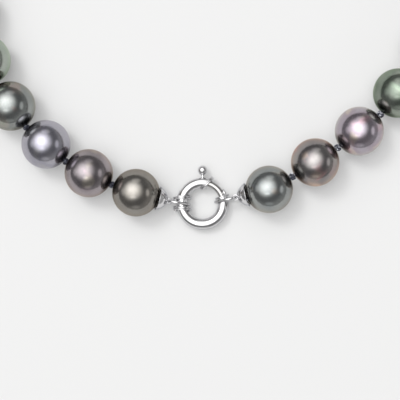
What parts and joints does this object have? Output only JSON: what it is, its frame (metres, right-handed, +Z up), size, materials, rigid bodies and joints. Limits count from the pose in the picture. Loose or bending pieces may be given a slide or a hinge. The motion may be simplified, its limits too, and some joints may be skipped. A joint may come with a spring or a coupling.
{
  "type": "pearl necklace",
  "caption": "Graded strand of large dark round pearls on knotted silk, closed by a polished jumbo bolt-ring clasp with links and bell end cups.",
  "frame": {"origin": "on the resting surface, under the middle of the closed loop", "axes": "+Z up from the surface the necklace lies on; the clasp is at the -Y end and the largest pearls at the +Y end; +X to the right of the clasp seen from above"},
  "size_m": [0.1358, 0.176, 0.013],
  "materials": {
    "polished_white_metal": "mirror polished",
    "spring_steel": "drawn wire",
    "dark_silk": "twisted silk, dull",
    "nacre_charcoal": "nacre, high lustre with a soft overtone",
    "nacre_aubergine": "nacre, high lustre with a soft overtone",
    "nacre_silver_blue": "nacre, high lustre with a soft overtone",
    "nacre_green_grey": "nacre, high lustre with a soft overtone",
    "nacre_pale_green": "nacre, high lustre with a soft overtone",
    "nacre_steel": "nacre, high lustre with a soft overtone",
    "nacre_peacock": "nacre, high lustre with a soft overtone",
    "nacre_lavender": "nacre, high lustre with a soft overtone",
    "nacre_deep_green": "nacre, high lustre with a soft overtone"
  },
  "bodies": {
    "clasp_body": {"clasp_tube": "polished_white_metal", "clasp_collar": "polished_white_metal", "clasp_mouth_flange": "polished_white_metal", "left_keeper_back": "polished_white_metal", "left_keeper_front": "polished_white_metal", "spring_stop": "polished_white_metal", "return_spring": "spring_steel"},
    "bolt_body": {"bolt": "polished_white_metal", "bolt_knob": "polished_white_metal"},
    "left_link_body": {"left_link": "polished_white_metal"},
    "left_cup_body": {"left_cup": "polished_white_metal", "left_cup_eye": "polished_white_metal"},
    "pearl_left_01_body": {"pearl_left_01": "nacre_charcoal"},
    "pearl_left_02_body": {"pearl_left_02": "nacre_aubergine", "silk_left_1": "dark_silk"},
    "pearl_left_03_body": {"pearl_left_03": "nacre_silver_blue"},
    "pearl_left_04_body": {"pearl_left_04": "nacre_green_grey"},
    "pearl_left_05_body": {"pearl_left_05": "nacre_pale_green", "silk_left_2": "dark_silk"},
    "pearl_left_06_body": {"pearl_left_06": "nacre_steel"},
    "pearl_left_07_body": {"pearl_left_07": "nacre_peacock"},
    "pearl_left_08_body": {"pearl_left_08": "nacre_lavender", "silk_left_3": "dark_silk"},
    "pearl_left_09_body": {"pearl_left_09": "nacre_charcoal"},
    "pearl_left_10_body": {"pearl_left_10": "nacre_deep_green"},
    "pearl_left_11_body": {"pearl_left_11": "nacre_silver_blue", "silk_left_4": "dark_silk"},
    "pearl_left_12_body": {"pearl_left_12": "nacre_aubergine"},
    "pearl_left_13_body": {"pearl_left_13": "nacre_green_grey"},
    "pearl_left_14_body": {"pearl_left_14": "nacre_steel", "silk_left_5": "dark_silk"},
    "pearl_left_15_body": {"pearl_left_15": "nacre_peacock"},
    "pearl_left_16_body": {"pearl_left_16": "nacre_pale_green", "silk_left_6": "dark_silk"},
    "pearl_left_17_body": {"pearl_left_17": "nacre_charcoal"},
    "right_link_body": {"right_link": "polished_white_metal"},
    "right_cup_body": {"right_cup": "polished_white_metal", "right_cup_eye": "polished_white_metal"},
    "pearl_right_01_body": {"pearl_right_01": "nacre_steel"},
    "pearl_right_02_body": {"pearl_right_02": "nacre_peacock", "silk_right_1": "dark_silk"},
    "pearl_right_03_body": {"pearl_right_03": "nacre_lavender"},
    "pearl_right_04_body": {"pearl_right_04": "nacre_deep_green"},
    "pearl_right_05_body": {"pearl_right_05": "nacre_charcoal", "silk_right_2": "dark_silk"},
    "pearl_right_06_body": {"pearl_right_06": "nacre_silver_blue"},
    "pearl_right_07_body": {"pearl_right_07": "nacre_green_grey"},
    "pearl_right_08_body": {"pearl_right_08": "nacre_aubergine", "silk_right_3": "dark_silk"},
    "pearl_right_09_body": {"pearl_right_09": "nacre_pale_green"},
    "pearl_right_10_body": {"pearl_right_10": "nacre_peacock"},
    "pearl_right_11_body": {"pearl_right_11": "nacre_steel", "silk_right_4": "dark_silk"},
    "pearl_right_12_body": {"pearl_right_12": "nacre_lavender"},
    "pearl_right_13_body": {"pearl_right_13": "nacre_deep_green"},
    "pearl_right_14_body": {"pearl_right_14": "nacre_charcoal"},
    "pearl_right_15_body": {"pearl_right_15": "nacre_silver_blue", "silk_right_5": "dark_silk"},
    "pearl_right_16_body": {"pearl_right_16": "nacre_aubergine"},
    "pearl_right_17_body": {"pearl_right_17": "nacre_green_grey"}
  },
  "joints": [
    {"name": "bolt_slide", "type": "hinge", "parent": "clasp_body", "child": "bolt_body", "pos_m": [-0.00385, -0.08199, 0.00215], "axis": [0, 0, 1], "range_deg": [0, 50], "stiffness_Nm_per_rad": 0.004, "springref_deg": -17.19, "deforming": ["return_spring"]},
    {"name": "left_link_swing", "type": "hinge", "parent": "clasp_body", "child": "left_link_body", "pos_m": [-0.00867, -0.08194, 0.00215], "axis": [0, 1, 0], "range_deg": [-35, 5], "deforming": ["silk_left_1"]},
    {"name": "left_cup_turn", "type": "hinge", "parent": "left_link_body", "child": "left_cup_body", "pos_m": [-0.0115, -0.08148, 0.00404], "axis": [0.5432, -0.0868, 0.8351], "range_deg": [0, 25], "deforming": ["silk_left_1"]},
    {"name": "right_link_swing", "type": "hinge", "parent": "clasp_body", "child": "right_link_body", "pos_m": [0.00092, -0.08127, 0.00215], "axis": [-0.1478, 0.989, 0], "range_deg": [-12, 35], "deforming": ["silk_right_1"]},
    {"name": "right_cup_turn", "type": "hinge", "parent": "right_link_body", "child": "right_cup_body", "pos_m": [0.00374, -0.0806, 0.00398], "axis": [-0.5184, -0.1233, 0.8462], "range_deg": [-25, 0], "deforming": ["silk_right_1"]},
    {"name": "knot_left_01_up_down", "type": "hinge", "parent": "left_cup_body", "child": "pearl_left_01_body", "pos_m": [-0.01362, -0.08121, 0.00546], "axis": [-0.2969, -0.9549, 0], "range_deg": [-6, 6], "deforming": ["silk_left_1"]},
    {"name": "knot_left_02_sideways", "type": "hinge", "parent": "pearl_left_01_body", "child": "pearl_left_02_body", "pos_m": [-0.02472, -0.07776, 0.0055], "axis": [0, 0, 1], "range_deg": [0, 22], "deforming": ["silk_left_1"]},
    {"name": "knot_left_03_up_down", "type": "hinge", "parent": "pearl_left_02_body", "child": "pearl_left_03_body", "pos_m": [-0.03521, -0.0723, 0.00557], "axis": [0.6488, 0.761, 0], "range_deg": [-20, 20], "deforming": ["silk_left_1"]},
    {"name": "knot_left_04_sideways", "type": "hinge", "parent": "pearl_left_03_body", "child": "pearl_left_04_body", "pos_m": [-0.04432, -0.06454, 0.00564], "axis": [0, 0, 1], "range_deg": [0, 22], "deforming": ["silk_left_1", "silk_left_2"]},
    {"name": "knot_left_05_up_down", "type": "hinge", "parent": "pearl_left_04_body", "child": "pearl_left_05_body", "pos_m": [-0.05144, -0.05477, 0.0057], "axis": [-0.9317, -0.3632, 0], "range_deg": [-20, 20], "deforming": ["silk_left_2"]},
    {"name": "knot_left_06_sideways", "type": "hinge", "parent": "pearl_left_05_body", "child": "pearl_left_06_body", "pos_m": [-0.05588, -0.04339, 0.00577], "axis": [0, 0, 1], "range_deg": [0, 22], "deforming": ["silk_left_2"]},
    {"name": "knot_left_07_up_down", "type": "hinge", "parent": "pearl_left_06_body", "child": "pearl_left_07_body", "pos_m": [-0.05885, -0.0314, 0.00583], "axis": [0.9863, 0.1652, 0], "range_deg": [-20, 20], "deforming": ["silk_left_2", "silk_left_3"]},
    {"name": "knot_left_08_sideways", "type": "hinge", "parent": "pearl_left_07_body", "child": "pearl_left_08_body", "pos_m": [-0.06092, -0.01909, 0.0059], "axis": [0, 0, 1], "range_deg": [0, 22], "deforming": ["silk_left_3"]},
    {"name": "knot_left_09_up_down", "type": "hinge", "parent": "pearl_left_08_body", "child": "pearl_left_09_body", "pos_m": [-0.06184, -0.00652, 0.00596], "axis": [-0.9999, -0.011, 0], "range_deg": [-20, 20], "deforming": ["silk_left_3"]},
    {"name": "knot_left_10_sideways", "type": "hinge", "parent": "pearl_left_09_body", "child": "pearl_left_10_body", "pos_m": [-0.06198, 0.00622, 0.00603], "axis": [0, 0, 1], "range_deg": [0, 22], "deforming": ["silk_left_3", "silk_left_4"]},
    {"name": "knot_left_11_up_down", "type": "hinge", "parent": "pearl_left_10_body", "child": "pearl_left_11_body", "pos_m": [-0.06113, 0.01906, 0.00609], "axis": [0.9869, -0.1616, 0], "range_deg": [-20, 20], "deforming": ["silk_left_4"]},
    {"name": "knot_left_12_sideways", "type": "hinge", "parent": "pearl_left_11_body", "child": "pearl_left_12_body", "pos_m": [-0.05902, 0.03189, 0.00616], "axis": [0, 0, 1], "range_deg": [0, 22], "deforming": ["silk_left_4"]},
    {"name": "knot_left_13_up_down", "type": "hinge", "parent": "pearl_left_12_body", "child": "pearl_left_13_body", "pos_m": [-0.05516, 0.04444, 0.00622], "axis": [-0.8985, 0.4389, 0], "range_deg": [-20, 20], "deforming": ["silk_left_4", "silk_left_5"]},
    {"name": "knot_left_14_sideways", "type": "hinge", "parent": "pearl_left_13_body", "child": "pearl_left_14_body", "pos_m": [-0.04934, 0.05636, 0.00629], "axis": [0, 0, 1], "range_deg": [0, 22], "deforming": ["silk_left_5"]},
    {"name": "knot_left_15_up_down", "type": "hinge", "parent": "pearl_left_14_body", "child": "pearl_left_15_body", "pos_m": [-0.04132, 0.06707, 0.00635], "axis": [0.6198, -0.7848, 0], "range_deg": [-20, 20], "deforming": ["silk_left_5"]},
    {"name": "knot_left_16_sideways", "type": "hinge", "parent": "pearl_left_15_body", "child": "pearl_left_16_body", "pos_m": [-0.03071, 0.07545, 0.00642], "axis": [0, 0, 1], "range_deg": [0, 22], "deforming": ["silk_left_5", "silk_left_6"]},
    {"name": "knot_left_17_up_down", "type": "hinge", "parent": "pearl_left_16_body", "child": "pearl_left_17_body", "pos_m": [-0.01802, 0.08048, 0.00649], "axis": [-0.1188, 0.9929, 0], "range_deg": [-20, 20], "deforming": ["silk_left_6"]},
    {"name": "knot_right_01_up_down", "type": "hinge", "parent": "right_cup_body", "child": "pearl_right_01_body", "pos_m": [0.00629, -0.08143, 0.00546], "axis": [-0.4665, 0.8845, 0], "range_deg": [-6, 6], "deforming": ["silk_right_1"]},
    {"name": "knot_right_02_sideways", "type": "hinge", "parent": "pearl_right_01_body", "child": "pearl_right_02_body", "pos_m": [0.01679, -0.07589, 0.0055], "axis": [0, 0, 1], "range_deg": [-22, 0], "deforming": ["silk_right_1"]},
    {"name": "knot_right_03_up_down", "type": "hinge", "parent": "pearl_right_02_body", "child": "pearl_right_03_body", "pos_m": [0.02713, -0.06917, 0.00557], "axis": [0.6086, -0.7935, 0], "range_deg": [-20, 20], "deforming": ["silk_right_1"]},
    {"name": "knot_right_04_sideways", "type": "hinge", "parent": "pearl_right_03_body", "child": "pearl_right_04_body", "pos_m": [0.03702, -0.06159, 0.00564], "axis": [0, 0, 1], "range_deg": [-22, 0], "deforming": ["silk_right_1", "silk_right_2"]},
    {"name": "knot_right_05_up_down", "type": "hinge", "parent": "pearl_right_04_body", "child": "pearl_right_05_body", "pos_m": [0.04488, -0.05176, 0.0057], "axis": [-0.8841, 0.4673, 0], "range_deg": [-20, 20], "deforming": ["silk_right_2"]},
    {"name": "knot_right_06_sideways", "type": "hinge", "parent": "pearl_right_05_body", "child": "pearl_right_06_body", "pos_m": [0.05083, -0.04051, 0.00577], "axis": [0, 0, 1], "range_deg": [-22, 0], "deforming": ["silk_right_2"]},
    {"name": "knot_right_07_up_down", "type": "hinge", "parent": "pearl_right_06_body", "child": "pearl_right_07_body", "pos_m": [0.05567, -0.02861, 0.00583], "axis": [0.9618, -0.2739, 0], "range_deg": [-20, 20], "deforming": ["silk_right_2", "silk_right_3"]},
    {"name": "knot_right_08_sideways", "type": "hinge", "parent": "pearl_right_07_body", "child": "pearl_right_08_body", "pos_m": [0.05922, -0.01613, 0.0059], "axis": [0, 0, 1], "range_deg": [-22, 0], "deforming": ["silk_right_3"]},
    {"name": "knot_right_09_up_down", "type": "hinge", "parent": "pearl_right_08_body", "child": "pearl_right_09_body", "pos_m": [0.06159, -0.00323, 0.00596], "axis": [-0.9988, 0.0494, 0], "range_deg": [-20, 20], "deforming": ["silk_right_3"]},
    {"name": "knot_right_10_sideways", "type": "hinge", "parent": "pearl_right_09_body", "child": "pearl_right_10_body", "pos_m": [0.06224, 0.00999, 0.00603], "axis": [0, 0, 1], "range_deg": [-22, 0], "deforming": ["silk_right_3", "silk_right_4"]},
    {"name": "knot_right_11_up_down", "type": "hinge", "parent": "pearl_right_10_body", "child": "pearl_right_11_body", "pos_m": [0.06116, 0.02332, 0.00609], "axis": [0.9765, 0.2157, 0], "range_deg": [-20, 20], "deforming": ["silk_right_4"]},
    {"name": "knot_right_12_sideways", "type": "hinge", "parent": "pearl_right_11_body", "child": "pearl_right_12_body", "pos_m": [0.05825, 0.0365, 0.00616], "axis": [0, 0, 1], "range_deg": [-22, 0], "deforming": ["silk_right_4"]},
    {"name": "knot_right_13_up_down", "type": "hinge", "parent": "pearl_right_12_body", "child": "pearl_right_13_body", "pos_m": [0.05288, 0.04903, 0.00622], "axis": [-0.8407, -0.5416, 0], "range_deg": [-20, 20], "deforming": ["silk_right_4"]},
    {"name": "knot_right_14_sideways", "type": "hinge", "parent": "pearl_right_13_body", "child": "pearl_right_14_body", "pos_m": [0.04543, 0.0606, 0.00629], "axis": [0, 0, 1], "range_deg": [-22, 0], "deforming": ["silk_right_4", "silk_right_5"]},
    {"name": "knot_right_15_up_down", "type": "hinge", "parent": "pearl_right_14_body", "child": "pearl_right_15_body", "pos_m": [0.03562, 0.07043, 0.00635], "axis": [0.483, 0.8756, 0], "range_deg": [-20, 20], "deforming": ["silk_right_5"]},
    {"name": "knot_right_16_sideways", "type": "hinge", "parent": "pearl_right_15_body", "child": "pearl_right_16_body", "pos_m": [0.02334, 0.0772, 0.00642], "axis": [0, 0, 1], "range_deg": [-22, 0], "deforming": ["silk_right_5"]},
    {"name": "knot_right_17_up_down", "type": "hinge", "parent": "pearl_right_16_body", "child": "pearl_right_17_body", "pos_m": [0.00968, 0.0809, 0.00649], "axis": [-0.0859, -0.9963, 0], "range_deg": [-20, 20], "deforming": ["silk_right_5"]}
  ]
}
